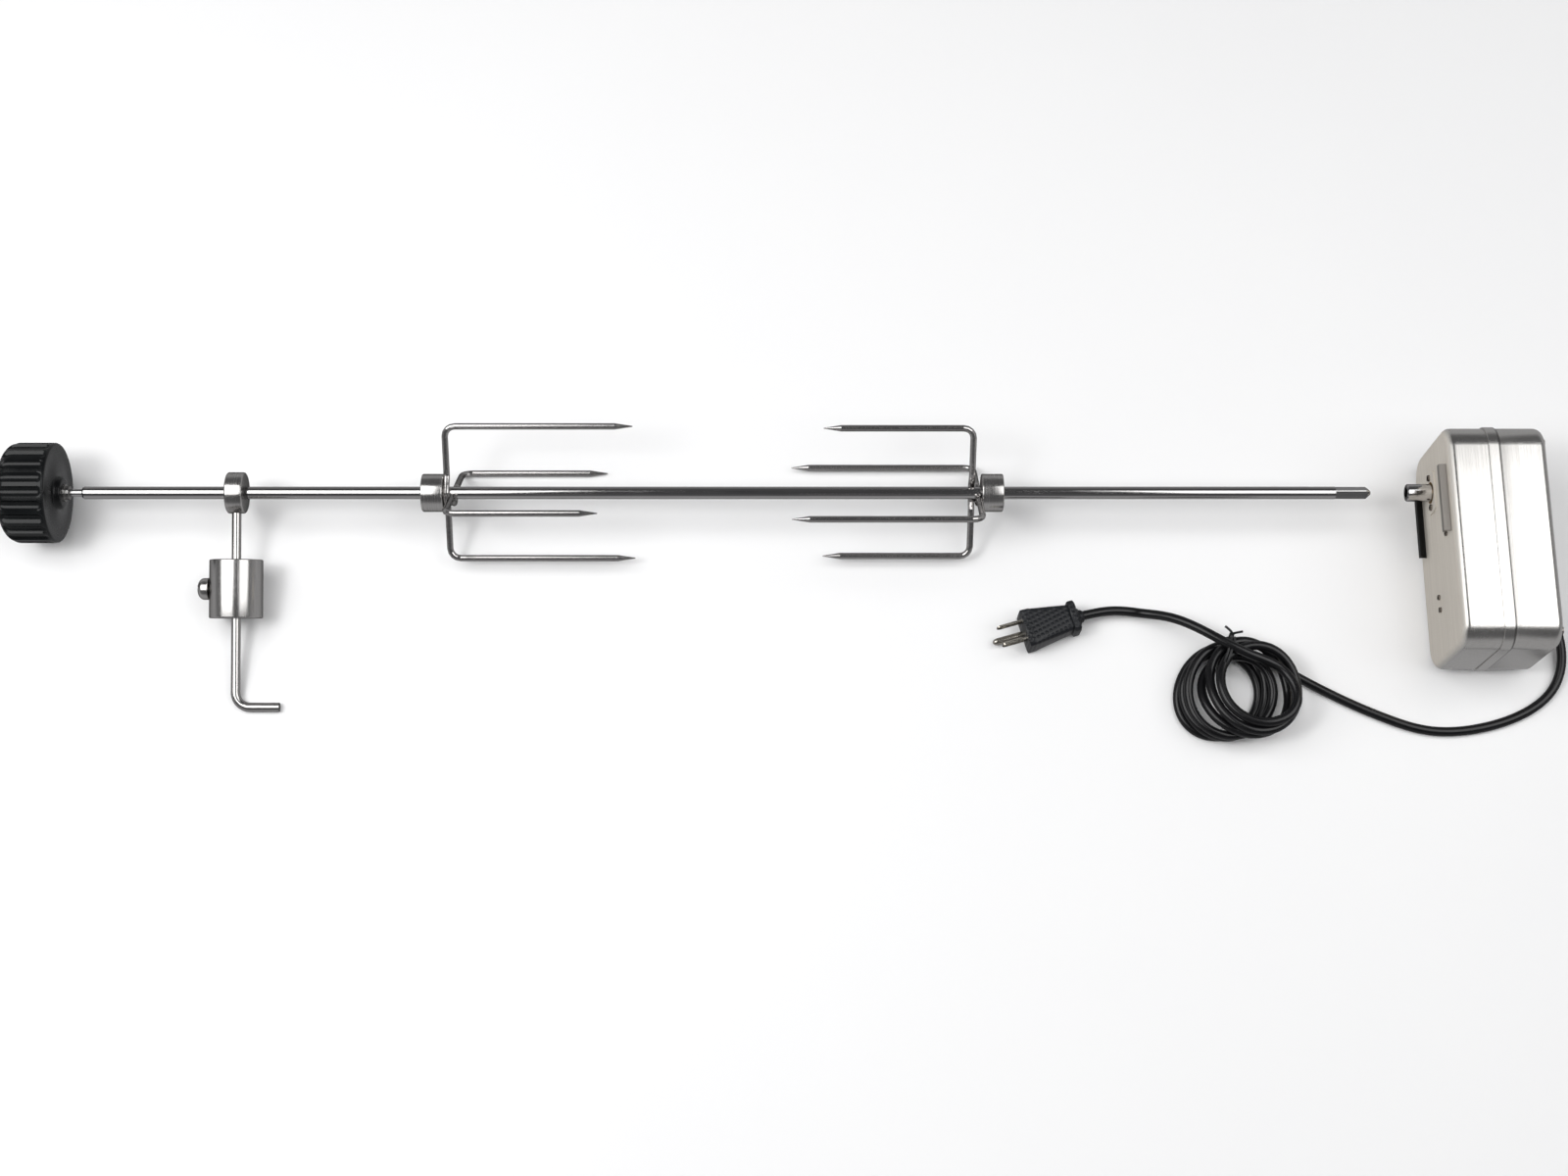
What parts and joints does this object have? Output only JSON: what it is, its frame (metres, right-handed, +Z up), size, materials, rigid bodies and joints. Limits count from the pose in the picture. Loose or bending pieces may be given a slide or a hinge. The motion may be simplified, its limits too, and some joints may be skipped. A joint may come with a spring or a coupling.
{
  "type": "grill rotisserie kit",
  "caption": "Grill rotisserie kit: long round spit with fluted handle knob, sliding four-prong forks and adjustable counterweight, beside its geared mains drive motor with lead and plug.",
  "frame": {"origin": "centre of the footprint of the object without its mains lead, on the table that it lies on", "axes": "+X along the spit from the handle to the motor, +Y to the back, +Z up"},
  "size_m": [1.0664, 0.2055, 0.086],
  "materials": {
    "polished_steel": "polished stainless bar",
    "wire_steel": "bright drawn stainless wire",
    "turned_steel": "turned and polished",
    "knob_plastic": "moulded, satin black",
    "insert_brass": "turned",
    "housing_steel": "brushed stainless sheet",
    "rail_steel": "pressed steel, dull",
    "screw_steel": "zinc plated",
    "bush_bronze": "sintered, oiled",
    "gear_steel": "hobbed, greased",
    "gear_nylon": "moulded nylon",
    "plate_zinc": "zinc plated sheet",
    "magnet_ferrite": "sintered ferrite",
    "bobbin_plastic": "moulded",
    "copper_wire": "enamelled wire",
    "switch_plastic": "moulded, glossy",
    "relief_rubber": "soft moulded boot",
    "cord_pvc": "extruded jacket, satin",
    "plug_plastic": "moulded onto the cord",
    "tie_wire": "plastic covered wire",
    "blade_metal": "nickel plated brass"
  },
  "bodies": {
    "motor_housing": {"front_shell": "housing_steel", "rear_shell": "housing_steel", "upper_rail": "rail_steel", "lower_rail": "rail_steel", "face_screws": "screw_steel", "shell_posts": "plate_zinc", "shell_screws": "screw_steel", "socket_flange": "housing_steel", "output_bushes": "bush_bronze", "front_plate": "plate_zinc", "rear_plate": "plate_zinc", "plate_pillars": "plate_zinc", "gear_pins": "polished_steel", "stator_cup": "plate_zinc", "coil_bobbin": "bobbin_plastic", "coil_winding": "copper_wire", "switch_bezel": "switch_plastic", "strain_relief": "relief_rubber", "cord_lead": "cord_pvc", "cord_coil": "cord_pvc", "cord_tail": "cord_pvc", "cord_tie": "tie_wire", "plug_body": "plug_plastic", "plug_blades": "blade_metal", "plug_earth_pin": "blade_metal"},
    "drive": {"drive_socket": "polished_steel", "output_gear": "gear_steel"},
    "second_gear": {"second_gear": "gear_steel"},
    "first_gear": {"first_gear": "gear_nylon"},
    "rotor": {"rotor_magnet": "magnet_ferrite", "rotor_shaft": "polished_steel", "rotor_pinion": "gear_nylon"},
    "spit": {"spit_rod": "polished_steel", "handle_knob": "knob_plastic", "knob_insert": "insert_brass", "knob_ferrule": "turned_steel"},
    "collar": {"balance_collar": "turned_steel"},
    "arm": {"balance_arm": "wire_steel"},
    "weight": {"balance_weight": "turned_steel"},
    "weight_screw": {"weight_thumbscrew": "turned_steel"},
    "left_fork": {"left_fork_hub": "turned_steel", "left_long_prongs": "wire_steel", "left_short_prongs": "wire_steel"},
    "left_screw": {"left_fork_screw": "turned_steel"},
    "right_fork": {"right_fork_hub": "turned_steel", "right_long_prongs": "wire_steel", "right_short_prongs": "wire_steel"},
    "right_screw": {"right_fork_screw": "turned_steel"},
    "rocker": {"switch_rocker": "switch_plastic"}
  },
  "joints": [
    {"name": "drive_spin", "type": "hinge", "parent": "motor_housing", "child": "drive", "pos_m": [0.4517, 0.05214, 0.041], "axis": [1, 0, 0], "continuous": true},
    {"name": "second_gear_spin", "type": "hinge", "parent": "motor_housing", "child": "second_gear", "pos_m": [0.465, 0.02364, 0.041], "axis": [1, 0, 0], "continuous": true},
    {"name": "first_gear_spin", "type": "hinge", "parent": "motor_housing", "child": "first_gear", "pos_m": [0.47, -0.00485, 0.041], "axis": [1, 0, 0], "continuous": true},
    {"name": "rotor_spin", "type": "hinge", "parent": "motor_housing", "child": "rotor", "pos_m": [0.49, -0.03336, 0.041], "axis": [1, 0, 0], "continuous": true},
    {"name": "spit_insert", "type": "slide", "parent": "drive", "child": "spit", "axis": [1, 0, 0], "range_m": [0, 0.0465]},
    {"name": "collar_turn", "type": "hinge", "parent": "spit", "child": "collar", "pos_m": [-0.3653, 0.05214, 0.041], "axis": [1, 0, 0], "continuous": true},
    {"name": "arm_turn", "type": "hinge", "parent": "collar", "child": "arm", "pos_m": [-0.3653, 0.05214, 0.041], "axis": [0, -0.9664, -0.257], "range_deg": [0, 180]},
    {"name": "weight_slide", "type": "slide", "parent": "arm", "child": "weight", "axis": [0, -0.9664, -0.257], "range_m": [-0.03, 0.048]},
    {"name": "weight_screw_turn", "type": "hinge", "parent": "weight", "child": "weight_screw", "pos_m": [-0.3653, -0.01135, 0.02412], "axis": [-1, 0, 0], "range_deg": [0, 180]},
    {"name": "left_fork_slide", "type": "slide", "parent": "spit", "child": "left_fork", "axis": [1, 0, 0], "range_m": [-0.08, 0.05]},
    {"name": "left_screw_turn", "type": "hinge", "parent": "left_fork", "child": "left_screw", "pos_m": [-0.2308, 0.05214, 0.021], "axis": [0, 0, -1], "range_deg": [0, 180]},
    {"name": "right_fork_slide", "type": "slide", "parent": "spit", "child": "right_fork", "axis": [1, 0, 0], "range_m": [-0.05, 0.18]},
    {"name": "right_screw_turn", "type": "hinge", "parent": "right_fork", "child": "right_screw", "pos_m": [0.1508, 0.05214, 0.021], "axis": [0, 0, -1], "range_deg": [0, 180]},
    {"name": "rocker_tilt", "type": "hinge", "parent": "motor_housing", "child": "rocker", "pos_m": [0.5148, 0.02, 0.043], "axis": [0, 1, 0], "range_deg": [0, 18]}
  ],
  "couplings": [
    {"joint": "second_gear_spin", "follows": "drive_spin", "ratio": -4},
    {"joint": "first_gear_spin", "follows": "drive_spin", "ratio": 16},
    {"joint": "rotor_spin", "follows": "drive_spin", "ratio": -64}
  ]
}
